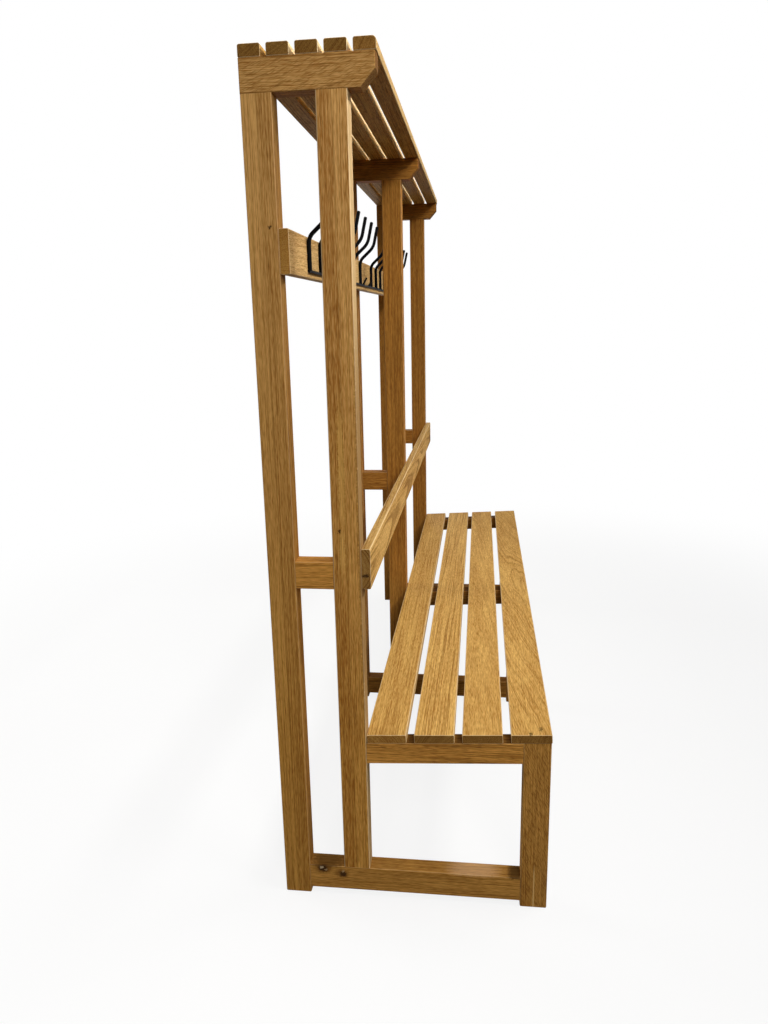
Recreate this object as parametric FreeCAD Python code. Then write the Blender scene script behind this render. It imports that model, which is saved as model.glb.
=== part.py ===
"""Open oak cloakroom bench: three ladder frames, slatted seat, backrest, hook board and slatted hat shelf.

Millimetres, +Z up, +X along the bench, front towards -Y.  The origin is on the floor under the middle of
the bench.  Every timber is a separate solid.  The frames are joined with mortises and tenons, the slats and
boards sit on hidden dowels, and the bent rod hooks are welded to one bar and screwed on from behind.
"""
import FreeCAD
import Part

import math
import os

Vector = FreeCAD.Vector

# Frame timbers
length = 2000.0
timber_width = 42.0
post_depth = 60.0
post_gap = 81.0
seat_span = 344.0
bottom_rail_lift = 16.0
bottom_rail_height = 60.0
mid_rail_lift = 758.0
mid_rail_height = 60.0
top_rail_height = 60.0
top_rail_reach = 52.0
nose_run = 28.0
nose_rise = 31.0
post_round = 3.0
rail_round = 2.0

# Seat
seat_height = 438.0
seat_tilt = 2.75
seat_rail_height = 50.0
seat_slat_count = 4
seat_slat_gap = 17.5
seat_slat_thickness = 20.0
seat_overhang = 1.5
seat_back_clearance = 0.5
seat_slat_round = 3.0

# Hat shelf
shelf_slat_count = 5
shelf_slat_gap = 10.5
shelf_slat_thickness = 23.0
shelf_overhang = 2.5
shelf_slat_round = 4.0
shelf_nose_round = 8.0
slat_lower_round = 2.5

# Backrest and hook board, and the ends of slats and boards
backrest_lift = 760.0
backrest_height = 88.0
backrest_thickness = 20.0
bar_above_board_edge = 15.0
hook_board_height = 85.0
hook_board_thickness = 20.0
hook_board_to_top_rail = 235.0
board_round = 3.5
end_round = 1.5

# Mortises and tenons
tenon_thickness = 14.0
tenon_length = 25.0
tenon_shoulder = 10.0
tenon_clearance = 0.2
tenon_end_gap = 1.0

# Dowels
dowel_diameter = 8.0
dowel_in_frame = 20.0
dowel_in_board = 12.0
dowel_clearance = 0.1
dowel_end_gap = 1.0
board_dowel_inset = 21.0

# Hooks
rod_diameter = 9.0
bar_diameter = 6.0
bar_height = 1413.0
hook_pitch = 120.0
hook_least_end = 150.0
hook_upright = 68.0
hook_arm_reach = 41.0
hook_arm_rise = 36.5
hook_finger_reach = 13.0
hook_finger_rise = 57.5
hook_bend_radius = 28.0
hook_elbow_radius = 45.0
hook_tip_round = 3.0
weld_clearance = 0.1
short_prong_offset = 62.0
short_prong_length = 25.0
short_prong_angle = 60.0
short_prong_round = 1.5

# Hook screws
screw_diameter = 4.0
screw_head_diameter = 8.0
screw_head_height = 2.6
screw_in_rod = 5.0
screw_above_bar = 35.0
screw_clearance = 0.2
screw_end_gap = 0.5

# Directions, and how close two places are to count as one
along_axis = Vector(1, 0, 0)
front_axis = Vector(0, -1, 0)
up_axis = Vector(0, 0, 1)
tolerance = 0.001

# Places that follow from the sizes above
whole_x = (-length / 2, length / 2)
frame_places = {
    "near": (timber_width - length) / 2,
    "middle": 0.0,
    "far": (length - timber_width) / 2,
}
frame_depth = post_depth + post_gap + post_depth + seat_span + post_depth
back_y = (frame_depth + seat_overhang) / 2
rear_post_y = (back_y - post_depth, back_y)
front_post_y = (rear_post_y[0] - post_gap - post_depth, rear_post_y[0] - post_gap)
leg_y = (front_post_y[0] - seat_span - post_depth, front_post_y[0] - seat_span)
shelf_front_y = front_post_y[0] - top_rail_reach
bottom_rail_y = (leg_y[1], rear_post_y[0])
mid_rail_y = (front_post_y[1], rear_post_y[0])
seat_rail_y = (leg_y[1], front_post_y[0])
backrest_y = (front_post_y[0] - backrest_thickness, front_post_y[0])
hook_board_y = (rear_post_y[0] - hook_board_thickness, rear_post_y[0])
rod_y = hook_board_y[0] - rod_diameter / 2
bar_y = hook_board_y[0] - bar_diameter / 2
bottom_rail_z = (bottom_rail_lift, bottom_rail_lift + bottom_rail_height)
mid_rail_z = (mid_rail_lift, mid_rail_lift + mid_rail_height)
backrest_z = (backrest_lift, backrest_lift + backrest_height)
hook_board_lift = bar_height - bar_above_board_edge
hook_board_z = (hook_board_lift, hook_board_lift + hook_board_height)
top_rail_lift = hook_board_z[1] + hook_board_to_top_rail
top_rail_z = (top_rail_lift, top_rail_lift + top_rail_height)
leg_height = seat_height - seat_slat_thickness
tilt = math.radians(seat_tilt)
seat_axis = Vector(0, math.sin(tilt), math.cos(tilt))
seat_back_room = front_post_y[0] - leg_y[0] - seat_back_clearance - seat_slat_thickness * math.sin(tilt)
seat_run = seat_overhang + seat_back_room / math.cos(tilt)
seat_slat_pitch = (seat_run + seat_slat_gap) / seat_slat_count
seat_slat_width = seat_slat_pitch - seat_slat_gap
seat_fronts = [seat_slat_pitch * number - seat_overhang for number in range(seat_slat_count)]
shelf_nose_y = shelf_front_y - shelf_overhang
shelf_slat_pitch = (back_y - shelf_nose_y + shelf_slat_gap) / shelf_slat_count
shelf_slat_width = shelf_slat_pitch - shelf_slat_gap
shelf_fronts = [shelf_slat_pitch * number + shelf_nose_y for number in range(shelf_slat_count)]
screw_height = bar_height + screw_above_bar
hooks_each_side = int((length / 2 - hook_least_end) / hook_pitch)


def block(x, y, z):
    """Box between the low and high values on each axis."""
    return Part.makeBox(x[1] - x[0], y[1] - y[0], z[1] - z[0], Vector(x[0], y[0], z[0]))


def grown(span, margin):
    """Span widened by the same margin at both ends."""
    return (span[0] - margin, span[1] + margin)


def timber_x(x):
    """The width of a frame timber centred on x."""
    return (x - timber_width / 2, x + timber_width / 2)


def tenon_x(x, margin):
    """The thickness of a tenon centred on x, widened by a margin for its mortise."""
    return grown((x - tenon_thickness / 2, x + tenon_thickness / 2), margin)


def edges_along(shape, axis):
    """Straight edges parallel to an axis."""
    straight = [edge for edge in shape.Edges if isinstance(edge.Curve, Part.Line)]
    return [edge for edge in straight if edge.Curve.Direction.cross(axis).Length < tolerance]


def eased(shape, axis, radius):
    """Shape with all its edges along one axis rounded."""
    return shape.makeFillet(radius, edges_along(shape, axis))


def footed(shape):
    """Post with its upright edges and the edges of its foot rounded."""
    foot = [edge for edge in shape.Edges if edge.BoundBox.ZMax < tolerance]
    return shape.makeFillet(post_round, edges_along(shape, up_axis) + foot)


def side_profile(points, x):
    """Solid with a flat outline in the YZ plane, as wide as a span of x."""
    corners = [Vector(x[0], y, z) for y, z in points]
    face = Part.Face(Part.makePolygon(corners + corners[:1]))
    return face.extrude(along_axis * (x[1] - x[0]))


def seat_plane(y):
    """Height of the underside of the seat slats, which falls towards the back."""
    return leg_height - (y - leg_y[0]) * math.tan(tilt)


def seat_band(x, y, below, above):
    """Band under the seat slats with upright ends, between two drops from the seat plane."""
    outline = [(y[0], seat_plane(y[0]) - below), (y[1], seat_plane(y[1]) - below)]
    outline += [(y[1], seat_plane(y[1]) - above), (y[0], seat_plane(y[0]) - above)]
    return side_profile(outline, x)


def laid_on_seat(shape):
    """Shape drawn level, with its underside and the leg's front face at zero, laid on the seat plane."""
    laid = shape.copy()
    laid.rotate(Vector(0, 0, 0), along_axis, -seat_tilt)
    laid.translate(Vector(0, leg_y[0], leg_height))
    return laid


def rail_tongue(x, y, z, side=0.0, end=0.0):
    """Tenons of a level rail, through its whole length; with clearances it cuts their mortises."""
    return block(tenon_x(x, side), grown(y, tenon_length + end), grown(z, side - tenon_shoulder))


def seat_tongue(x, side=0.0, end=0.0):
    """Tenons of the sloping seat rail, through its whole length, or their mortises."""
    reach = grown(seat_rail_y, tenon_length + end)
    return seat_band(tenon_x(x, side), reach, seat_rail_height - tenon_shoulder + side, tenon_shoulder - side)


def stub(x, y, z, side):
    """Upright stub tenon of a post, or its mortise."""
    return block(tenon_x(x, side), grown(y, side - tenon_shoulder), z)


def post_top_stub(x, y, side=0.0, end=0.0):
    """Stub tenon from a tall post up into the top rail."""
    return stub(x, y, (top_rail_z[0] - end, top_rail_z[0] + tenon_length + end), side)


def front_post_foot_stub(x, side=0.0, end=0.0):
    """Stub tenon from the front post down into the bottom rail."""
    return stub(x, front_post_y, (bottom_rail_z[1] - tenon_length - end, bottom_rail_z[1] + end), side)


def mortises(x):
    """Clearance cuts for the tenons of the rails of one frame."""
    level = [(bottom_rail_y, bottom_rail_z), (mid_rail_y, mid_rail_z)]
    cuts = [rail_tongue(x, y, z, tenon_clearance, tenon_end_gap) for y, z in level]
    return cuts + [seat_tongue(x, tenon_clearance, tenon_end_gap)]


def cross_dowel(centre, axis, radius, end):
    """Round dowel across a joint, with one length into the frame and one into the board."""
    start = centre.sub(axis * (dowel_in_frame + end))
    return Part.makeCylinder(radius, dowel_in_frame + dowel_in_board + 2 * end, start, axis)


def dowels(places, axis):
    """All dowels of one kind of joint."""
    return Part.makeCompound([cross_dowel(place, axis, dowel_diameter / 2, 0.0) for place in places])


def dowel_holes(places, axis):
    """The holes that take the dowels of one kind of joint."""
    radius = dowel_diameter / 2 + dowel_clearance
    return Part.makeCompound([cross_dowel(place, axis, radius, dowel_end_gap) for place in places])


def seat_dowel_places():
    """Middle of each seat slat over each frame, on the sloping seat plane."""
    level = [Part.Vertex(x, front + seat_slat_width / 2, 0.0)
             for x in frame_places.values() for front in seat_fronts]
    return [laid_on_seat(point).Point for point in level]


def shelf_dowel_places():
    """Middle of each shelf slat over each frame."""
    return [Vector(x, front + shelf_slat_width / 2, top_rail_z[1])
            for x in frame_places.values() for front in shelf_fronts]


def board_dowel_places(y, z):
    """Two places above each other on each frame, behind a board that spans z."""
    heights = grown(z, -board_dowel_inset)
    return [Vector(x, y, height) for x in frame_places.values() for height in heights]


# Dowel places under slats and behind boards, with the way the dowels point
seat_pins = (seat_dowel_places(), seat_axis)
shelf_pins = (shelf_dowel_places(), up_axis)
backrest_pins = (board_dowel_places(backrest_y[1], backrest_z), front_axis)
hook_board_pins = (board_dowel_places(hook_board_y[1], hook_board_z), front_axis)


def rear_post(x):
    """Tall back post from the floor to the top rail, with rounded foot."""
    post = footed(block(timber_x(x), rear_post_y, (0.0, top_rail_z[0])))
    post = post.fuse(post_top_stub(x, rear_post_y))
    return post.cut(mortises(x) + [dowel_holes(*hook_board_pins)])


def front_post(x):
    """Tall front post that stands on the bottom rail and carries the backrest."""
    post = eased(block(timber_x(x), front_post_y, (bottom_rail_z[1], top_rail_z[0])), up_axis, post_round)
    post = post.fuse([post_top_stub(x, front_post_y), front_post_foot_stub(x)])
    return post.cut(mortises(x) + [dowel_holes(*backrest_pins)])


def front_leg(x):
    """Short leg under the front of the seat, its top cut to the seat's slope."""
    outline = [(leg_y[0], 0.0), (leg_y[1], 0.0), (leg_y[1], seat_plane(leg_y[1])), (leg_y[0], leg_height)]
    leg = footed(side_profile(outline, timber_x(x)))
    return leg.cut(mortises(x) + [dowel_holes(*seat_pins)])


def bottom_rail(x):
    """Rail just above the floor, tenoned into the back post and the leg."""
    rail = eased(block(timber_x(x), bottom_rail_y, bottom_rail_z), front_axis, rail_round)
    rail = rail.fuse(rail_tongue(x, bottom_rail_y, bottom_rail_z))
    return rail.cut(front_post_foot_stub(x, tenon_clearance, tenon_end_gap))


def mid_rail(x):
    """Rail between the two tall posts behind the backrest."""
    rail = eased(block(timber_x(x), mid_rail_y, mid_rail_z), front_axis, rail_round)
    return rail.fuse(rail_tongue(x, mid_rail_y, mid_rail_z))


def seat_rail(x):
    """Sloping rail under the seat slats, tenoned into the front post and the leg."""
    slope = Vector(0, math.cos(tilt), -math.sin(tilt))
    rail = eased(seat_band(timber_x(x), seat_rail_y, seat_rail_height, 0.0), slope, rail_round)
    return rail.fuse(seat_tongue(x)).cut(dowel_holes(*seat_pins))


def top_rail(x):
    """Rail on top of both tall posts, carried forward past the front one with its nose cut away below."""
    low, high = top_rail_z
    outline = [(back_y, low), (back_y, high), (shelf_front_y, high)]
    outline += [(shelf_front_y, low + nose_rise), (shelf_front_y + nose_run, low)]
    rail = side_profile(outline, timber_x(x))
    sharp = edges_along(rail, along_axis)
    rail = rail.makeFillet(rail_round, [edge for edge in rail.Edges if not any(map(edge.isSame, sharp))])
    sockets = [post_top_stub(x, y, tenon_clearance, tenon_end_gap) for y in (rear_post_y, front_post_y)]
    return rail.cut(sockets + [dowel_holes(*shelf_pins)])


def soft_ended(piece):
    """Long piece with the edges of both its ends rounded."""
    rims = [edge for edge in piece.Edges if edge.BoundBox.XLength < tolerance]
    return piece.makeFillet(end_round, rims)


def rounded_slat(width, thickness, back_radius, front_radius):
    """Full-length slat from its front edge back, with rounded upper and softened lower edges."""
    slat = block(whole_x, (0.0, width), (0.0, thickness))
    corners = [(0.0, thickness, front_radius), (width, thickness, back_radius)]
    corners += [(y, 0.0, slat_lower_round) for y in (0.0, width)]
    for y, z, radius in corners:
        edge = min(slat.Edges, key=lambda e: e.CenterOfMass.distanceToPoint(Vector(0, y, z)))
        slat = slat.makeFillet(radius, [edge])
    return soft_ended(slat)


def seat_slat(front):
    """Seat slat laid on the sloping rails."""
    slat = rounded_slat(seat_slat_width, seat_slat_thickness, seat_slat_round, seat_slat_round)
    slat.translate(Vector(0, front, 0))
    return laid_on_seat(slat).cut(dowel_holes(*seat_pins))


def shelf_slat(front, front_radius):
    """Shelf slat laid across the top rails."""
    slat = rounded_slat(shelf_slat_width, shelf_slat_thickness, shelf_slat_round, front_radius)
    slat.translate(Vector(0, front, top_rail_z[1]))
    return slat.cut(dowel_holes(*shelf_pins))


def backrest_board():
    """Board across the front of the front posts."""
    board = soft_ended(eased(block(whole_x, backrest_y, backrest_z), along_axis, board_round))
    return board.cut(dowel_holes(*backrest_pins))


def hook_places():
    """Places of the hooks along the bar; none stands in front of the middle post."""
    steps = range(1, hooks_each_side + 1)
    return [-hook_pitch * step for step in reversed(steps)] + [hook_pitch * step for step in steps]


def hook_board():
    """Board across the front of the back posts, drilled for the hook screws."""
    board = soft_ended(eased(block(whole_x, hook_board_y, hook_board_z), along_axis, board_round))
    holes = [screw_shank(x, screw_diameter / 2 + screw_clearance, 0.0) for x in hook_places()]
    return board.cut(holes + [dowel_holes(*hook_board_pins)])


def bent_line(points, radii):
    """Wire through points in one plane, with an arc of its own radius at each inner point."""
    edges = []
    start = points[0]
    for before, corner, after, radius in zip(points, points[1:], points[2:], radii):
        back = before.sub(corner).normalize()
        ahead = after.sub(corner).normalize()
        half = back.getAngle(ahead) / 2
        setback = radius / math.tan(half)
        inward = back.add(ahead).normalize()
        centre = corner.add(inward * (radius / math.sin(half)))
        first = corner.add(back * setback)
        last = corner.add(ahead * setback)
        edges.append(Part.LineSegment(start, first).toShape())
        edges.append(Part.Arc(first, centre.sub(inward * radius), last).toShape())
        start = last
    edges.append(Part.LineSegment(start, points[-1]).toShape())
    return Part.Wire(edges)


def bar_room():
    """Room for the bar where a rod is welded to it."""
    radius = bar_diameter / 2 + weld_clearance
    return Part.makeCylinder(radius, length, Vector(whole_x[0], bar_y, bar_height), along_axis)


def hook(x):
    """Round rod that rises on the board, leans forward and ends in a steeper finger."""
    foot = Vector(x, rod_y, bar_height)
    bend = foot.add(up_axis * hook_upright)
    elbow = bend.add(Vector(0, -hook_arm_reach, hook_arm_rise))
    tip = elbow.add(Vector(0, -hook_finger_reach, hook_finger_rise))
    section = Part.Wire(Part.makeCircle(rod_diameter / 2, foot, up_axis))
    line = bent_line([foot, bend, elbow, tip], [hook_bend_radius, hook_elbow_radius])
    rod = line.makePipeShell([section], True, False)
    rim = min(rod.Edges, key=lambda edge: edge.BoundBox.Center.distanceToPoint(tip))
    rod = rod.makeFillet(hook_tip_round, [rim])
    return rod.cut([bar_room(), screw_shank(x, screw_diameter / 2 + screw_clearance, screw_end_gap)])


def hook_bar():
    """Thin bar along the foot of the hooks."""
    end = hook_pitch * hooks_each_side + rod_diameter / 2
    return Part.makeCylinder(bar_diameter / 2, 2 * end, Vector(-end, bar_y, bar_height), along_axis)


def short_prong(x):
    """Short peg that rises forward from the bar beside the middle post."""
    angle = math.radians(short_prong_angle)
    axis = Vector(0, -math.cos(angle), math.sin(angle))
    peg = Part.makeCylinder(bar_diameter / 2, short_prong_length, Vector(x, bar_y, bar_height), axis)
    rim = max((edge for edge in peg.Edges if edge.Closed), key=lambda edge: edge.CenterOfMass.z)
    return peg.makeFillet(short_prong_round, [rim]).cut(bar_room())


def screw_shank(x, radius, end):
    """Round shank from the back of the hook board into a hook's rod."""
    run = hook_board_thickness + screw_in_rod + end
    return Part.makeCylinder(radius, run, Vector(x, hook_board_y[1], screw_height), front_axis)


def hook_screw(x):
    """Screw with a flat round head behind the hook board."""
    top = Vector(x, hook_board_y[1] + screw_head_height, screw_height)
    head = Part.makeCylinder(screw_head_diameter / 2, screw_head_height, top, front_axis)
    return head.fuse(screw_shank(x, screw_diameter / 2, 0.0))


def frame_nodes():
    """The seven timbers of each of the three frames."""
    makers = [rear_post, front_post, front_leg, bottom_rail, mid_rail, seat_rail, top_rail]
    return {f"{place}_{maker.__name__}": maker(x) for place, x in frame_places.items() for maker in makers}


def slat_nodes():
    """Seat and shelf slats, numbered from the back."""
    nodes = {}
    for number, front in enumerate(reversed(seat_fronts), start=1):
        nodes[f"seat_slat_{number}"] = seat_slat(front)
    for number, front in enumerate(reversed(shelf_fronts), start=1):
        front_radius = shelf_nose_round if front == shelf_fronts[0] else shelf_slat_round
        nodes[f"shelf_slat_{number}"] = shelf_slat(front, front_radius)
    return nodes


def board_nodes():
    """Backrest, hook board and the dowels of all slats and boards."""
    return {
        "backrest_board": backrest_board(),
        "hook_board": hook_board(),
        "seat_dowels": dowels(*seat_pins),
        "shelf_dowels": dowels(*shelf_pins),
        "backrest_dowels": dowels(*backrest_pins),
        "hook_board_dowels": dowels(*hook_board_pins),
    }


def hook_nodes():
    """Hooks, the bar that joins them, its two short prongs and the screws."""
    nodes = {f"coat_hook_{number:02d}": hook(x) for number, x in enumerate(hook_places(), start=1)}
    nodes["short_prong_1"] = short_prong(-short_prong_offset)
    nodes["short_prong_2"] = short_prong(short_prong_offset)
    nodes["hook_bar"] = hook_bar()
    nodes["hook_screws"] = Part.makeCompound([hook_screw(x) for x in hook_places()])
    return nodes


os.makedirs("parts", exist_ok=True)
for nodes in (frame_nodes(), slat_nodes(), board_nodes(), hook_nodes()):
    for name, shape in nodes.items():
        shape.exportStep(f"parts/{name}.step")
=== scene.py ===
"""Looks of an open oak cloakroom bench: oiled oak timbers, black bent-rod hooks, pale floor, soft light."""
import math
import random

import bpy
from mathutils import Matrix, Vector


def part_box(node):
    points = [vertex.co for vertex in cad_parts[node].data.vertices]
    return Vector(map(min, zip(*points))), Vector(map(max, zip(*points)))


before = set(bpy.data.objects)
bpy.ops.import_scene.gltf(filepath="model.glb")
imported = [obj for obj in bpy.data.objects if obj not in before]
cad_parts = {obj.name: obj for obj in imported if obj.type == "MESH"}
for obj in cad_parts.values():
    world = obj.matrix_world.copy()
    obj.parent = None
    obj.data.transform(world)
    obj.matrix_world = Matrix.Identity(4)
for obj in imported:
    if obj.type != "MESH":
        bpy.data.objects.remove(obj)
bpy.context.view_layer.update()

MM = 0.001
WHITE = "#FFFFFF"

# Sockets of a Mix node for colours go by number, because several of its sockets share a name
SHARE, BASE, TINT, MIXED = 0, 6, 7, 2

# The axis that a timber's grain follows
ALONG, ACROSS, UPRIGHT = 0, 1, 2

# Oiled oak, pale and deep; three of these are darker copies that paint shade on the timbers that get them
HONEY = ("#E0B466", "#A06D2E")
RUSSET = ("#E0AF68", "#A06A30")
AMBER = ("#DEA04C", "#9C6428")
# Painted shade: a darker copy of the oak for the middle and far frames, which lie in the shade behind the
# near frame
SHADED_TAWNY = ("#C68A3E", "#86531F")
# Painted shade: a darker copy of the oak for the legs and bottom rails, for the dimmer, warmer light near the
# floor
LOW_SHADED_BROWN = ("#D49C4E", "#966226")
FAWN = ("#E4BE80", "#AA7C42")
# Painted shade: a darker copy of the oak for the rear seat slat
SHADED_SAND = ("#D6AA5E", "#986629")
HAZEL = ("#CC9C5A", "#8E5E2A")
ALMOND = ("#D0A260", "#94622C")
STRAW = ("#EEC276", "#B07C3A")

# Tints of what lies in and on the wood, and of painted highlights and shade
LATE_WOOD = "#7A5020"
PORE = "#5E3D18"
RAY = "#6C4418"
GLUE = "#6E4A20"
DRIED_GLUE = "#F0C680"
# Painted highlights: the next two tints make rounded arrises and front and rear faces paler, where they catch
# the light
EDGE_HIGHLIGHT = "#F8DDAE"
SIDE_HIGHLIGHT = "#F2D8A6"
# Painted shade on upward faces
TOP_SHADE_TINT = "#2C1E0C"

# Tints of knots and other marks, some of them painted light and shade
KNOT = "#3A2412"
KNOT_RIM = "#6A4219"
OLD_FILLER = "#D8C09A"
THIN_FILLER = "#C9A878"
PALE_STREAK = "#E6B660"
# Painted shade on the lower front face of the near front post
FRONT_SHADE = "#8E6634"
# Partly a dark stain round the knots, partly painted shade on the bottom rail's top
STAIN_AND_SHADE = "#4A3010"
# Painted shadow of the front leg on the bottom rail's top
LEG_SHADOW = "#3A2610"
# Painted pool of light on the bottom rail's top
LIGHT_PATCH = "#DDB58C"


def linear(code):
    """Linear colour from an sRGB hex value, by the curve of the sRGB standard."""
    channels = [int(code[i:i + 2], 16) / 255 for i in (1, 3, 5)]
    return [c / 12.92 if c <= 0.04045 else ((c + 0.055) / 1.055) ** 2.4 for c in channels] + [1.0]


def add(tree, kind, inputs=None, **settings):
    """Adds a node with its settings, and sets or links its inputs."""
    node = tree.nodes.new(kind)
    for name, value in settings.items():
        setattr(node, name, value)
    for socket, value in (inputs or {}).items():
        if isinstance(value, bpy.types.NodeSocket):
            tree.links.new(value, node.inputs[socket])
        else:
            node.inputs[socket].default_value = value
    return node


def empty_material(name):
    """New material and its node tree, which has no nodes yet."""
    material = bpy.data.materials.new(name)
    material.use_nodes = True
    material.node_tree.nodes.clear()
    return material, material.node_tree


def laid(grain, lengthwise, first, second):
    """Vector with one value along the grain and one on each of the two axes across it."""
    values = [first, second]
    values.insert(grain, lengthwise)
    return values


def glued_up(tree, coords, glue):
    """Two lamellae from different planks, which meet in a glue line at the depth glue, in metres.

    Gives which of them a point lies in, how far it is from the glue line, and its place in its own plank.
    """
    other_plank = (0.031, 0.013, 0.47)
    depth = add(tree, "ShaderNodeSeparateXYZ", {0: coords}).outputs["Y"]
    from_glue = add(tree, "ShaderNodeMath", {0: depth, 1: glue}, operation="SUBTRACT").outputs[0]
    rear = add(tree, "ShaderNodeMath", {0: from_glue, 1: 0.0}, operation="GREATER_THAN").outputs[0]
    gap = add(tree, "ShaderNodeMath", {0: from_glue}, operation="ABSOLUTE").outputs[0]
    shift = add(tree, "ShaderNodeVectorMath", {0: other_plank, "Scale": rear}, operation="SCALE").outputs[0]
    place = add(tree, "ShaderNodeVectorMath", {0: coords, 1: shift}).outputs[0]
    return rear, gap, place


def swaying_fibres(tree, place, grain, wave, start):
    """The wood straightened along its fibres, which don't run dead straight but sway by wave mm."""
    swell = laid(grain, 300 * MM, 50 * MM, 50 * MM)
    reach = laid(grain, 0.0, wave * MM, wave * MM)
    centred = [-value / 2 for value in reach]
    slow = add(tree, "ShaderNodeMapping", {"Vector": place, "Location": start, "Scale": swell},
               vector_type="TEXTURE").outputs[0]
    sway = add(tree, "ShaderNodeTexNoise", {"Vector": slow, "Scale": 1.0, "Detail": 1.5}).outputs["Color"]
    sway = add(tree, "ShaderNodeVectorMath", {0: sway, 1: reach, 2: centred},
               operation="MULTIPLY_ADD").outputs[0]
    return add(tree, "ShaderNodeVectorMath", {0: place, 1: sway}).outputs[0]


def growth_rings(tree, fibres, place, grain, heart, lean, ring, log_number):
    """Growth rings of uneven width round the heart of the log, ring mm apart."""
    endless = 1000.0
    drift = 350 * MM
    log = add(tree, "ShaderNodeMapping",
              {"Vector": fibres, "Location": heart, "Rotation": laid(grain, 0.0, *lean),
               "Scale": laid(grain, endless, 1.0, 1.0)}, vector_type="TEXTURE").outputs[0]
    radius = add(tree, "ShaderNodeVectorMath", {0: log}, operation="LENGTH").outputs["Value"]
    years = add(tree, "ShaderNodeMath", {0: radius, 1: 1 / (ring * MM)}, operation="MULTIPLY").outputs[0]
    run = add(tree, "ShaderNodeVectorMath", {0: place, 1: laid(grain, 1 / drift, 0.0, 0.0)},
              operation="DOT_PRODUCT").outputs["Value"]
    ringed = add(tree, "ShaderNodeCombineXYZ", {"X": years, "Y": run, "Z": log_number}).outputs[0]
    return add(tree, "ShaderNodeTexNoise", {"Vector": ringed, "Scale": 1.0, "Detail": 1.0}).outputs["Fac"]


def fibre_patterns(tree, fibres, grain, start):
    """Bundles of fibres, strands, slow changes of tone, and pores, each by its length and width in mm.

    Real fibres and pores are at most a few tenths of a millimetre wide, and are drawn several times as coarse
    so that they show.
    """
    sizes = {"fibre": (70, 2.0, 1.0),
             "strand": (18, 1.3, 1.0),
             "tone": (400, 45, 2.0),
             "pore": (24, 1.8, 1.0)}
    patterns = {}
    for name, (length, width, detail) in sizes.items():
        scale = laid(grain, length * MM, width * MM, width * MM)
        mapped = add(tree, "ShaderNodeMapping", {"Vector": fibres, "Location": start, "Scale": scale},
                     vector_type="TEXTURE").outputs[0]
        noise = add(tree, "ShaderNodeTexNoise", {"Vector": mapped, "Scale": 1.0, "Detail": detail})
        patterns[name] = noise.outputs["Fac"]
    return patterns


def depth_of_tone(tree, rings, patterns, lines, rear, lamella):
    """How deep the wood's tone is at a point: nought is pale and one is deep."""
    middle = 0.5
    weights = ((rings, 1.2 * lines),
               (patterns["fibre"], 1.0),
               (patterns["strand"], 1.5),
               (patterns["tone"], 0.6))
    depth = middle
    for pattern, weight in weights:
        swing = add(tree, "ShaderNodeMath", {0: pattern, 1: middle}, operation="SUBTRACT").outputs[0]
        depth = add(tree, "ShaderNodeMath", {0: swing, 1: weight, 2: depth},
                    operation="MULTIPLY_ADD").outputs[0]
    if rear is not None:
        depth = add(tree, "ShaderNodeMath", {0: rear, 1: lamella, 2: depth},
                    operation="MULTIPLY_ADD").outputs[0]
    return add(tree, "ShaderNodeClamp", {0: depth}).outputs[0]


def open_pores(tree, pattern, depth):
    """Pores that were cut open, most of them in the deeper wood."""
    shut, wide_open = 0.54, 0.7
    pores = add(tree, "ShaderNodeMapRange", {"Value": pattern, "From Min": shut, "From Max": wide_open},
                interpolation_type="SMOOTHSTEP").outputs[0]
    return add(tree, "ShaderNodeMath", {0: pores, 1: depth}, operation="MULTIPLY").outputs[0]


def figured(tree, depth, rings, pores, tones, lines, dashes):
    """Body colour of the wood, with lines of late wood and dashes of dark pores."""
    summer, autumn = 0.52, 0.68
    line_strength = 0.5 * lines
    dash_strength = 1.6 * dashes
    pale, deep = (linear(tone) for tone in tones)
    colour = add(tree, "ShaderNodeMix", {SHARE: depth, BASE: pale, TINT: deep},
                 data_type="RGBA").outputs[MIXED]
    late = add(tree, "ShaderNodeMapRange",
               {"Value": rings, "From Min": summer, "From Max": autumn, "To Max": line_strength},
               interpolation_type="SMOOTHSTEP").outputs[0]
    colour = add(tree, "ShaderNodeMix", {SHARE: late, BASE: colour, TINT: linear(LATE_WOOD)},
                 data_type="RGBA").outputs[MIXED]
    dark = add(tree, "ShaderNodeMath", {0: pores, 1: dash_strength}, operation="MULTIPLY",
               use_clamp=True).outputs[0]
    return add(tree, "ShaderNodeMix", {SHARE: dark, BASE: colour, TINT: linear(PORE)},
               data_type="RGBA").outputs[MIXED]


def rippled(tree, colour, fibres, grain, ripple):
    """Fine dark ripples that cross the grain aslant on a quarter-sawn face."""
    slant = (-0.4, 0.0, 0.0)
    size = laid(grain, 18 * MM, 1.7 * MM, 1.7 * MM)
    faint, full = 0.48, 0.7
    slanted = add(tree, "ShaderNodeMapping", {"Vector": fibres, "Rotation": slant, "Scale": size},
                  vector_type="TEXTURE").outputs[0]
    rays = add(tree, "ShaderNodeTexNoise", {"Vector": slanted, "Scale": 1.0, "Detail": 1.0}).outputs["Fac"]
    shown = add(tree, "ShaderNodeMapRange",
                {"Value": rays, "From Min": faint, "From Max": full, "To Max": ripple},
                interpolation_type="SMOOTHSTEP").outputs[0]
    return add(tree, "ShaderNodeMix", {SHARE: shown, BASE: colour, TINT: linear(RAY)},
               data_type="RGBA").outputs[MIXED]


def glue_lined(tree, colour, gap):
    """A thin dark line where the two lamellae meet."""
    core, rim = 0.2 * MM, 0.9 * MM
    strength = 0.45
    line = add(tree, "ShaderNodeMapRange",
               {"Value": gap, "From Min": core, "From Max": rim, "To Min": strength,
                "To Max": 0.0}).outputs[0]
    return add(tree, "ShaderNodeMix", {SHARE: line, BASE: colour, TINT: linear(GLUE)},
               data_type="RGBA").outputs[MIXED]


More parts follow.
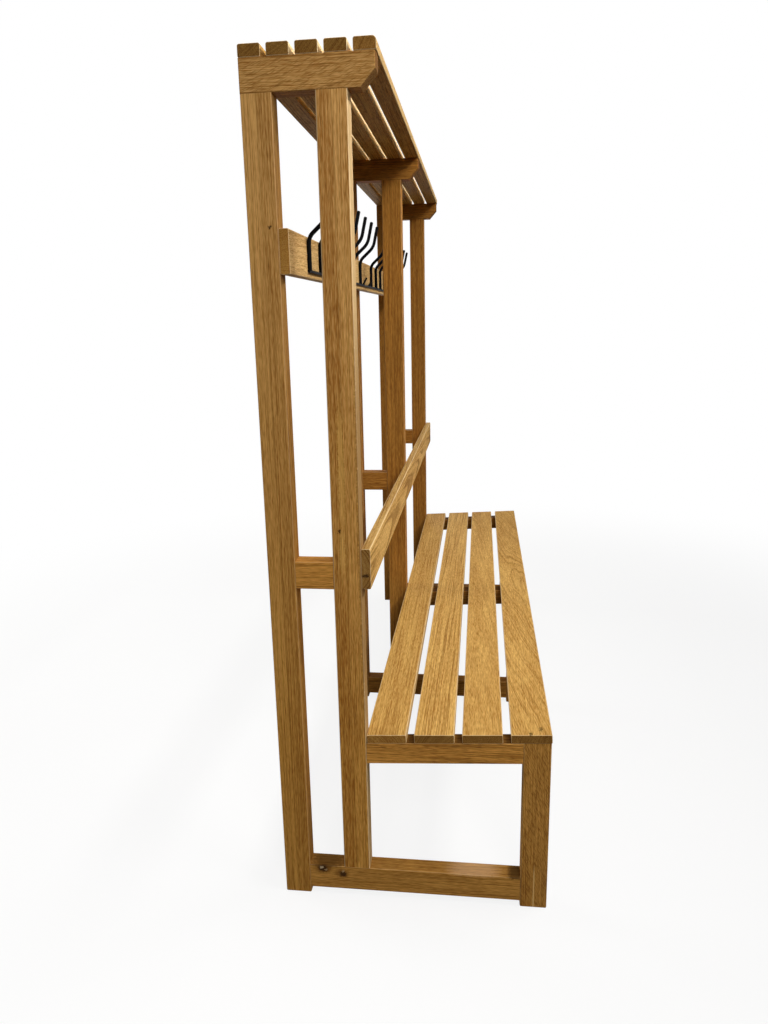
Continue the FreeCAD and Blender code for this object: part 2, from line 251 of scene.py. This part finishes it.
def glue_beaded(tree, colour, gap, height, top):
    """Glue that was squeezed out of the joint has dried pale from the floor up to top, in metres."""
    core, rim = 0.7 * MM, 1.7 * MM
    strength = 0.8
    fade = 30 * MM
    lowest = add(tree, "ShaderNodeMapRange",
                 {"Value": height, "From Min": top - fade, "From Max": top, "To Min": strength,
                  "To Max": 0.0}).outputs[0]
    bead = add(tree, "ShaderNodeMapRange",
               {"Value": gap, "From Min": core, "From Max": rim, "To Min": 1.0, "To Max": 0.0}).outputs[0]
    bead = add(tree, "ShaderNodeMath", {0: bead, 1: lowest}, operation="MULTIPLY").outputs[0]
    return add(tree, "ShaderNodeMix", {SHARE: bead, BASE: colour, TINT: linear(DRIED_GLUE)},
               data_type="RGBA").outputs[MIXED]


def painted_low_warmth(tree, colour, height, low_tint):
    """Painted light: from the floor up to the seat the wood is multiplied by a warmer tint, fading out above
    the hooks, for the warm light bounced low down.
    """
    seat, above_hooks = 0.4, 1.6
    raised = add(tree, "ShaderNodeMapRange",
                 {"Value": height, "From Min": seat, "From Max": above_hooks}).outputs[0]
    warmth = add(tree, "ShaderNodeMix", {SHARE: raised, BASE: linear(low_tint), TINT: linear(WHITE)},
              data_type="RGBA").outputs[MIXED]
    return add(tree, "ShaderNodeMix", {SHARE: 1.0, BASE: colour, TINT: warmth}, data_type="RGBA",
               blend_type="MULTIPLY").outputs[MIXED]


def end_cut(tree, colour, normal, grain, cut):
    """Cut ends drink more oil and stay darker, by the tint cut."""
    aslant, end_on = 0.6, 0.95
    facing = add(tree, "ShaderNodeVectorMath", {0: normal, 1: laid(grain, 1.0, 0.0, 0.0)},
                 operation="DOT_PRODUCT").outputs["Value"]
    facing = add(tree, "ShaderNodeMath", {0: facing}, operation="ABSOLUTE").outputs[0]
    end = add(tree, "ShaderNodeMapRange",
              {"Value": facing, "From Min": aslant, "From Max": end_on}).outputs[0]
    soaked = add(tree, "ShaderNodeMix", {SHARE: 1.0, BASE: colour, TINT: linear(cut)}, data_type="RGBA",
                 blend_type="MULTIPLY").outputs[MIXED]
    return add(tree, "ShaderNodeMix", {SHARE: end, BASE: colour, TINT: soaked},
               data_type="RGBA").outputs[MIXED]


def painted_highlights(tree, colour, normal, edges, sides):
    """Painted highlights: rounded arrises come out paler, as where they catch the light, and so do front and
    rear faces, as where they face the lamps.
    """
    on_face, on_edge = 0.985, 0.85
    aslant, side_on = 0.5, 0.95
    turned = add(tree, "ShaderNodeVectorMath", {0: normal}, operation="ABSOLUTE").outputs[0]
    turned = add(tree, "ShaderNodeSeparateXYZ", {0: turned}).outputs
    flat = add(tree, "ShaderNodeMath", {0: turned["X"], 1: turned["Y"]}, operation="MAXIMUM").outputs[0]
    flat = add(tree, "ShaderNodeMath", {0: flat, 1: turned["Z"]}, operation="MAXIMUM").outputs[0]
    edge = add(tree, "ShaderNodeMapRange",
               {"Value": flat, "From Min": on_face, "From Max": on_edge, "To Max": edges}).outputs[0]
    colour = add(tree, "ShaderNodeMix", {SHARE: edge, BASE: colour, TINT: linear(EDGE_HIGHLIGHT)},
                 data_type="RGBA").outputs[MIXED]
    if sides:
        side_light = add(tree, "ShaderNodeMapRange",
                      {"Value": turned["Y"], "From Min": aslant, "From Max": side_on,
                       "To Max": sides}).outputs[0]
        colour = add(tree, "ShaderNodeMix", {SHARE: side_light, BASE: colour, TINT: linear(SIDE_HIGHLIGHT)},
                     data_type="RGBA").outputs[MIXED]
    return colour


def shade_upward_faces(tree, colour, normal, grime):
    """Painted shade: upward faces are darkened by a dark tint, standing in for the shade that falls on them,
    as in the slots between the seat slats.
    """
    steep, level = 0.6, 0.95
    upward = add(tree, "ShaderNodeSeparateXYZ", {0: normal}).outputs["Z"]
    dust_and_shade = add(tree, "ShaderNodeMapRange",
                {"Value": upward, "From Min": steep, "From Max": level, "To Max": grime}).outputs[0]
    return add(tree, "ShaderNodeMix", {SHARE: dust_and_shade, BASE: colour, TINT: linear(TOP_SHADE_TINT)},
               data_type="RGBA").outputs[MIXED]


def marked(tree, colour, coords, marks):
    """Knots, cracks, streaks and stains with ragged outlines."""
    crumb = 5 * MM
    rag = 12 * MM
    core, rim = 0.4, 1.0
    ragged = add(tree, "ShaderNodeTexNoise", {"Vector": coords, "Scale": 1 / crumb, "Detail": 3.0})
    ragged = add(tree, "ShaderNodeVectorMath", {0: ragged.outputs["Color"], 1: [rag] * 3, 2: coords},
                 operation="MULTIPLY_ADD").outputs[0]
    for centre, reach, tint, strength in marks:
        moved = [value + rag / 2 for value in centre]
        size = [value * MM for value in reach]
        spot = add(tree, "ShaderNodeMapping", {"Vector": ragged, "Location": moved, "Scale": size},
                   vector_type="TEXTURE").outputs[0]
        spot = add(tree, "ShaderNodeVectorMath", {0: spot}, operation="LENGTH").outputs["Value"]
        spot = add(tree, "ShaderNodeMapRange",
                   {"Value": spot, "From Min": core, "From Max": rim, "To Min": strength, "To Max": 0.0},
                   interpolation_type="SMOOTHSTEP").outputs[0]
        colour = add(tree, "ShaderNodeMix", {SHARE: spot, BASE: colour, TINT: linear(tint)},
                     data_type="RGBA").outputs[MIXED]
    return colour


def oak(piece, grain, tones, pith, seed, lean=(0.0, 0.0), ring=1.8, wave=6.0, lines=0.7, dashes=0.35,
        ripple=0.0, cut="#B4A99C", low_tint=WHITE, edges=0.15, sides=0.0, grime=0.0, glue=None, squeezed=0.0,
        lamella=0.0, marks=()):
    """Solid oak, planed and oiled: growth rings, fine fibres, dark pores, brown cut ends and a dull surface,
    with painted highlights on its arrises and front and rear faces, painted shade on its upward faces and a
    painted warmer tint low down.

    pith is where the heart of the log lay, in mm across the grain from the timber's middle, and lean how far
    its axis turned away from the timber, which decides whether a face shows straight lines or arches. ring is
    the width of a year's growth and wave the sway of the fibres, in mm. lines, dashes and ripple say how
    strongly each of these shows, the painted arris and face highlights and the painted shade on upward faces
    have strengths of their own, and lamella says how much deeper the rear half of a glued timber is.
    """
    material, tree = empty_material(f"oiled_oak_{piece}")
    chance = random.Random(seed)
    farthest_start = 9.0
    start = [chance.uniform(0.0, farthest_start) for axis in range(3)]
    low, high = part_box(piece)
    offset = laid(grain, 0.0, *(value * MM for value in pith))
    heart = [(a + b) / 2 + value for a, b, value in zip(low, high, offset)]

    coords = add(tree, "ShaderNodeTexCoord").outputs["Object"]
    normal = add(tree, "ShaderNodeNewGeometry").outputs["Normal"]
    height = add(tree, "ShaderNodeSeparateXYZ", {0: coords}).outputs["Z"]
    rear, gap, place = None, None, coords
    if glue is not None:
        rear, gap, place = glued_up(tree, coords, glue)
    fibres = swaying_fibres(tree, place, grain, wave, start)
    rings = growth_rings(tree, fibres, place, grain, heart, lean, ring, log_number=start[0])
    patterns = fibre_patterns(tree, fibres, grain, start)
    depth = depth_of_tone(tree, rings, patterns, lines, rear, lamella)
    pores = open_pores(tree, patterns["pore"], depth)

    colour = figured(tree, depth, rings, pores, tones, lines, dashes)
    if ripple:
        colour = rippled(tree, colour, fibres, grain, ripple)
    if glue is not None:
        colour = glue_lined(tree, colour, gap)
    if squeezed:
        colour = glue_beaded(tree, colour, gap, height, top=squeezed)
    # Painted light and shade: a warmer tint low down, highlights on arrises and front and rear faces, and
    # shade on upward faces
    colour = painted_low_warmth(tree, colour, height, low_tint)
    colour = end_cut(tree, colour, normal, grain, cut)
    colour = painted_highlights(tree, colour, normal, edges, sides)
    if grime:
        colour = shade_upward_faces(tree, colour, normal, grime)
    if marks:
        colour = marked(tree, colour, coords, marks)

    between_pores, in_pores = 0.68, 0.85
    pore_depth = -0.8
    rough = add(tree, "ShaderNodeMapRange",
                {"Value": pores, "To Min": between_pores, "To Max": in_pores}).outputs[0]
    relief = add(tree, "ShaderNodeMath", {0: pores, 1: pore_depth, 2: patterns["strand"]},
                 operation="MULTIPLY_ADD").outputs[0]
    relief = add(tree, "ShaderNodeBump",
                 {"Height": relief, "Strength": 0.35, "Distance": 0.4 * MM}).outputs[0]
    shader = add(tree, "ShaderNodeBsdfPrincipled",
                 {"Base Color": colour, "Roughness": rough, "Normal": relief, "IOR": 1.48,
                  "Specular IOR Level": 0.02})
    add(tree, "ShaderNodeOutputMaterial", {"Surface": shader.outputs[0]})
    return material


def coated_rod():
    """Steel rod with a satin black powder coat: fine orange peel and a dim, wide highlight."""
    material, tree = empty_material("powder_coated_black_steel")
    peel_size = 0.9 * MM
    dust_size = 14 * MM
    clean, dust_and_shade = 0.3, 0.7
    satin, dull = 0.55, 0.66
    coords = add(tree, "ShaderNodeTexCoord").outputs["Object"]
    peel = add(tree, "ShaderNodeTexNoise", {"Vector": coords, "Scale": 1 / peel_size, "Detail": 2.0})
    dust = add(tree, "ShaderNodeTexNoise", {"Vector": coords, "Scale": 1 / dust_size, "Detail": 3.0})
    dust = dust.outputs["Fac"]
    colour = add(tree, "ShaderNodeMix", {SHARE: dust, BASE: linear("#060607"), TINT: linear("#0E0E0F")},
                 data_type="RGBA").outputs[MIXED]
    rough = add(tree, "ShaderNodeMapRange",
                {"Value": dust, "From Min": clean, "From Max": dust_and_shade, "To Min": satin,
                 "To Max": dull}).outputs[0]
    relief = add(tree, "ShaderNodeBump",
                 {"Height": peel.outputs["Fac"], "Strength": 0.25, "Distance": 0.05 * MM}).outputs[0]
    shader = add(tree, "ShaderNodeBsdfPrincipled",
                 {"Base Color": colour, "Roughness": rough, "Normal": relief, "IOR": 1.5,
                  "Specular IOR Level": 0.05})
    add(tree, "ShaderNodeOutputMaterial", {"Surface": shader.outputs[0]})
    return material


def zinc_plate():
    """Zinc-plated steel screws: pale bluish metal with cloudy passivation."""
    material, tree = empty_material("zinc_plated_steel")
    cloud_size = 2 * MM
    bright, clouded = 0.28, 0.45
    coords = add(tree, "ShaderNodeTexCoord").outputs["Object"]
    cloud = add(tree, "ShaderNodeTexNoise", {"Vector": coords, "Scale": 1 / cloud_size, "Detail": 3.0})
    cloud = cloud.outputs["Fac"]
    colour = add(tree, "ShaderNodeMix", {SHARE: cloud, BASE: linear("#B9BCBE"), TINT: linear("#CFCBBB")},
                 data_type="RGBA").outputs[MIXED]
    rough = add(tree, "ShaderNodeMapRange", {"Value": cloud, "To Min": bright, "To Max": clouded}).outputs[0]
    shader = add(tree, "ShaderNodeBsdfPrincipled",
                 {"Base Color": colour, "Roughness": rough, "Metallic": 1.0})
    add(tree, "ShaderNodeOutputMaterial", {"Surface": shader.outputs[0]})
    return material


def beech():
    """Turned beech dowels: pinkish wood with short dark flecks."""
    material, tree = empty_material("turned_beech")
    fleck_size = 1.5 * MM
    faint, full = 0.55, 0.7
    coords = add(tree, "ShaderNodeTexCoord").outputs["Object"]
    fleck = add(tree, "ShaderNodeTexNoise", {"Vector": coords, "Scale": 1 / fleck_size, "Detail": 1.0})
    shown = add(tree, "ShaderNodeMapRange",
                {"Value": fleck.outputs["Fac"], "From Min": faint, "From Max": full}).outputs[0]
    colour = add(tree, "ShaderNodeMix", {SHARE: shown, BASE: linear("#D9B48A"), TINT: linear("#B98A60")},
                 data_type="RGBA").outputs[MIXED]
    shader = add(tree, "ShaderNodeBsdfPrincipled", {"Base Color": colour, "Roughness": 0.6, "IOR": 1.5})
    add(tree, "ShaderNodeOutputMaterial", {"Surface": shader.outputs[0]})
    return material


def dress(piece, material):
    """Gives a CAD node a finish in all its slots."""
    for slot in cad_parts[piece].material_slots:
        slot.material = material


# Marks on the timbers, some of them painted light and shade: where each lies in metres, its reach on the
# three axes in mm, its tint and strength
MARKS = {
    "near_front_post": [((-1.0, 0.1456, 0.8847), (8, 4, 7), KNOT, 0.9),
                        ((-1.0, 0.1379, 1.015), (14, 9, 190), PALE_STREAK, 0.42),
                        ((-1.0, 0.141, 0.838), (14, 8, 62), PALE_STREAK, 0.42),
                        # Painted shade on the lower front face
                        ((-0.979, 0.1022, 0.85), (120, 7, 620), FRONT_SHADE, 0.75)],
    "near_rear_post": [((-1.0, 0.2599, 1.4848), (8, 5, 5), KNOT, 0.9)],
    "near_bottom_rail": [((-1.0, 0.2135, 0.066), (16, 28, 17), KNOT_RIM, 0.6),
                         # Partly a dark stain round the knots, partly painted shade on the rail's top
                         ((-0.979, 0.2027, 0.078), (60, 60, 9), STAIN_AND_SHADE, 0.7),
                         ((-1.0, 0.2135, 0.067), (14, 17, 12), KNOT, 0.95),
                         ((-1.0, 0.2165, 0.07), (7, 6, 4), OLD_FILLER, 0.75),
                         ((-1.0, 0.2065, 0.065), (7, 5, 3), THIN_FILLER, 0.6),
                         ((-1.0, 0.17, 0.057), (16, 24, 16), KNOT_RIM, 0.6),
                         ((-1.0, 0.1663, 0.0557), (10, 12, 11), KNOT, 0.9),
                         ((-1.0, 0.1655, 0.063), (7, 5, 5), THIN_FILLER, 0.6),
                         # Painted pool of light on the rail's top
                         ((-0.979, -0.1365, 0.076), (60, 78, 7), LIGHT_PATCH, 0.35),
                         # Painted shadow of the front leg
                         ((-0.985, -0.23, 0.077), (60, 22, 10), LEG_SHADOW, 0.75)],
    "backrest_board": [((-1.0, 0.0935, 0.7897), (10, 11, 6), KNOT, 0.9)],
    "seat_slat_4": [((-0.9936, -0.2569, 0.438), (11, 5, 8), KNOT, 0.85),
                    ((-0.9748, -0.2795, 0.438), (14, 5, 8), KNOT, 0.7)],
}

# Planks that differ from the rest: their tones, where the pith lay and how it leaned, how strong and wavy
# their lines are, what was done to their ends, and the painted light and shade on their arrises, faces and
# tops
PLANKS = {
    # Painted shade: the rear seat slat gets a darker copy of the oak
    "seat_slat_1": dict(pith=(120, -90), lean=(0.0, 0.012), wave=5.0, cut="#E0D4C8", tones=SHADED_SAND),
    "seat_slat_2": dict(pith=(-110, -80), lean=(0.004, -0.01), wave=7.0, lines=0.9),
    "seat_slat_3": dict(pith=(30, -120), lean=(0.02, 0.02), wave=12.0, lines=0.3),
    "seat_slat_4": dict(pith=(-30, -60), lean=(0.03, 0.2), wave=30.0, lines=0.6, ring=2.0),
    # Painted highlights on the shelf slats' front and rear faces: none on the rear slat, which lies in shade,
    # and less on the front slat
    "shelf_slat_1": dict(sides=0.0),
    "shelf_slat_5": dict(cut="#B6AA9D", sides=0.25),
    # Painted light on the near posts: strong highlights on the front post's arrises and front and rear faces,
    # and a warmer tint low down on both posts
    "near_front_post": dict(pith=(-60, 120), lamella=0.26, tones=RUSSET, low_tint="#FFF4CE", edges=0.6,
                            sides=0.45),
    "near_rear_post": dict(pith=(-40, -130), lamella=-0.24, tones=HAZEL, low_tint="#FFF4CE"),
    "near_top_rail": dict(pith=(-90, 110), ripple=0.5, tones=ALMOND),
    "near_front_leg": dict(ripple=0.65, squeezed=0.115),
    "near_seat_rail": dict(lines=1.1, dashes=0.6),
    # The backrest's top gets painted shade
    "backrest_board": dict(pith=(70, -12), lean=(0.01, 0.02), wave=10.0, lines=1.0, ring=3.0, grime=0.36,
                           tones=STRAW),
    "hook_board": dict(pith=(60, 20), lean=(0.03, 0.05), wave=18.0, lines=0.4, tones=FAWN, cut="#CDB88C"),
}


def plank_for(piece, kind, seed):
    """What the plank of a timber looks like. Its pith lay well outside it unless PLANKS says otherwise."""
    chance = random.Random(seed)
    nearest, farthest = 60, 120
    most_lean = 0.01
    most_change = 0.1
    plank = dict(pith=[chance.choice((-1, 1)) * chance.uniform(nearest, farthest) for axis in range(2)],
                 lean=[chance.uniform(-most_lean, most_lean) for axis in range(2)], tones=AMBER)
    # Painted shade: legs and bottom rails get the darker copy of the oak
    if kind == "leg" or "bottom" in piece:
        plank.update(tones=LOW_SHADED_BROWN)
    # Painted highlights on the rounded arrises of slats and boards
    if kind in ("slat", "board"):
        plank.update(tones=HONEY, edges=0.5)
    # Painted highlights on the front and rear faces of slats
    if piece.startswith("seat_slat"):
        plank.update(sides=0.3)
    if piece.startswith("shelf_slat"):
        plank.update(sides=0.95, cut="#A2988C")
    if kind in ("post", "leg"):
        low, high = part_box(piece)
        plank.update(glue=(low.y + high.y) / 2, lamella=chance.uniform(-most_change, most_change))
    # Painted shade: the middle and far frames get the darker copy of the oak
    if piece.startswith(("middle", "far")):
        plank.update(tones=SHADED_TAWNY)
    # No painted highlight on the arrises of top rails
    if "top_rail" in piece:
        plank.update(edges=0.0)
    # Painted shade on the tops of seat rails and bottom rails
    if "seat_rail" in piece:
        plank.update(grime=0.75)
    if "bottom_rail" in piece:
        plank.update(grime=0.18)
    plank.update(PLANKS.get(piece, {}))
    return plank


def dress_timbers():
    """Each timber is a plank of its own, so no two share a grain."""
    grains = {"slat": ALONG, "board": ALONG, "rail": ACROSS, "post": UPRIGHT, "leg": UPRIGHT}
    for seed, piece in enumerate(sorted(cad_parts)):
        kind = next((kind for kind in grains if kind in piece and "dowel" not in piece), None)
        if kind is None:
            continue
        plank = plank_for(piece, kind, seed)
        dress(piece, oak(piece, grains[kind], seed=seed, marks=MARKS.get(piece, ()), **plank))


def dress_fittings():
    """Black hooks and bar, zinc screws and beech dowels."""
    black = coated_rod()
    wood = beech()
    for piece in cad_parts:
        if piece.startswith(("coat_hook", "short_prong", "hook_bar")):
            dress(piece, black)
        if piece.endswith("dowels"):
            dress(piece, wood)
    dress("hook_screws", zinc_plate())


def straight_rays(tree):
    """One for rays from the camera and in reflections or glass, nought for the rest."""
    path = add(tree, "ShaderNodeLightPath").outputs
    either = add(tree, "ShaderNodeMath", {0: path["Is Camera Ray"], 1: path["Is Glossy Ray"]},
                 operation="MAXIMUM").outputs[0]
    return add(tree, "ShaderNodeMath", {0: either, 1: path["Is Transmission Ray"]},
               operation="MAXIMUM").outputs[0]


def lay_floor():
    """Pale floor that keeps the bench's shadow and fades to white away from it."""
    width = 60.0
    fade_start, fade_end = 1.3, 3.2
    least_white = 0.84
    bpy.ops.object.select_all(action="DESELECT")
    bpy.ops.mesh.primitive_plane_add(size=width)
    floor = bpy.context.object
    floor.name = "floor"
    material, tree = empty_material("matt_pale_floor")
    coords = add(tree, "ShaderNodeTexCoord").outputs["Object"]
    away = add(tree, "ShaderNodeVectorMath", {0: coords}, operation="LENGTH").outputs["Value"]
    fade = add(tree, "ShaderNodeMapRange",
               {"Value": away, "From Min": fade_start, "From Max": fade_end, "To Min": least_white},
               interpolation_type="SMOOTHSTEP").outputs[0]
    shadowed = add(tree, "ShaderNodeBsdfDiffuse", {"Color": linear("#F2F1EE")}).outputs[0]
    white = add(tree, "ShaderNodeEmission", {"Color": linear(WHITE), "Strength": 1.0}).outputs[0]
    seen = add(tree, "ShaderNodeMixShader", {0: fade, 1: shadowed, 2: white}).outputs[0]
    bounced = add(tree, "ShaderNodeBsdfDiffuse", {"Color": linear("#4C4A47")}).outputs[0]
    shader = add(tree, "ShaderNodeMixShader", {0: straight_rays(tree), 1: bounced, 2: seen}).outputs[0]
    add(tree, "ShaderNodeOutputMaterial", {"Surface": shader})
    floor.data.materials.append(material)


def surround_with_white():
    """White surroundings, whose glow on the bench is dim and a little brighter overhead."""
    glow_below, glow_above = 0.08, 0.3
    world = bpy.data.worlds.new("studio")
    bpy.context.scene.world = world
    world.use_nodes = True
    tree = world.node_tree
    tree.nodes.clear()
    up = add(tree, "ShaderNodeTexCoord").outputs["Generated"]
    up = add(tree, "ShaderNodeSeparateXYZ", {0: up}).outputs["Z"]
    strength = add(tree, "ShaderNodeMapRange",
                   {"Value": up, "To Min": glow_below, "To Max": glow_above}).outputs[0]
    glow = add(tree, "ShaderNodeBackground", {"Color": linear(WHITE), "Strength": strength}).outputs[0]
    white = add(tree, "ShaderNodeBackground", {"Color": linear(WHITE), "Strength": 1.0}).outputs[0]
    shader = add(tree, "ShaderNodeMixShader", {0: straight_rays(tree), 1: glow, 2: white}).outputs[0]
    add(tree, "ShaderNodeOutputWorld", {"Surface": shader})


def hang_lamps():
    """A strip lamp with a grid hangs in front of the shelf, and soft lamps light both ends and the back."""
    # Name, place and target in metres, width and height in metres, beam in degrees, watts
    lamps = (("front_strip", (-0.6, -2.0, 3.4), (-0.6, 0.0, 1.5), (3.4, 0.5), 80, 27.8),
             ("near_fill", (-4.0, -0.9, 2.7), (-1.0, 0.05, 0.9), (1.2, 1.2), 180, 62.0),
             ("back_fill", (0.9, 4.4, 2.4), (0.0, 0.2, 0.9), (2.0, 1.6), 180, 80.0),
             ("far_fill", (4.2, 0.7, 1.2), (1.0, 0.05, 0.9), (1.2, 1.2), 180, 30.0))
    for name, place, target, size, beam, watts in lamps:
        bpy.ops.object.light_add(type="AREA", location=place)
        lamp = bpy.context.object
        lamp.name = name
        lamp.rotation_euler = (Vector(place) - Vector(target)).to_track_quat("Z", "Y").to_euler()
        lamp.data.shape = "RECTANGLE"
        lamp.data.size, lamp.data.size_y = size
        lamp.data.spread = math.radians(beam)
        lamp.data.energy = watts


def place_camera():
    """The camera stands before the near end of the bench and looks along it, slightly down."""
    stand = (-2.52809, -0.14065, 1.31268)
    lens_mm = 27.288
    heading, pitch, roll = (math.radians(angle) for angle in (-82.824, 75.987, -1.214))
    turn = Matrix.Rotation(heading, 3, "Z") @ Matrix.Rotation(pitch, 3, "X") @ Matrix.Rotation(roll, 3, "Z")
    bpy.ops.object.camera_add(location=stand, rotation=turn.to_euler())
    camera = bpy.context.object
    camera.data.lens = lens_mm
    bpy.context.scene.camera = camera


bpy.context.scene.view_settings.view_transform = "Standard"
dress_timbers()
dress_fittings()
lay_floor()
surround_with_white()
hang_lamps()
place_camera()
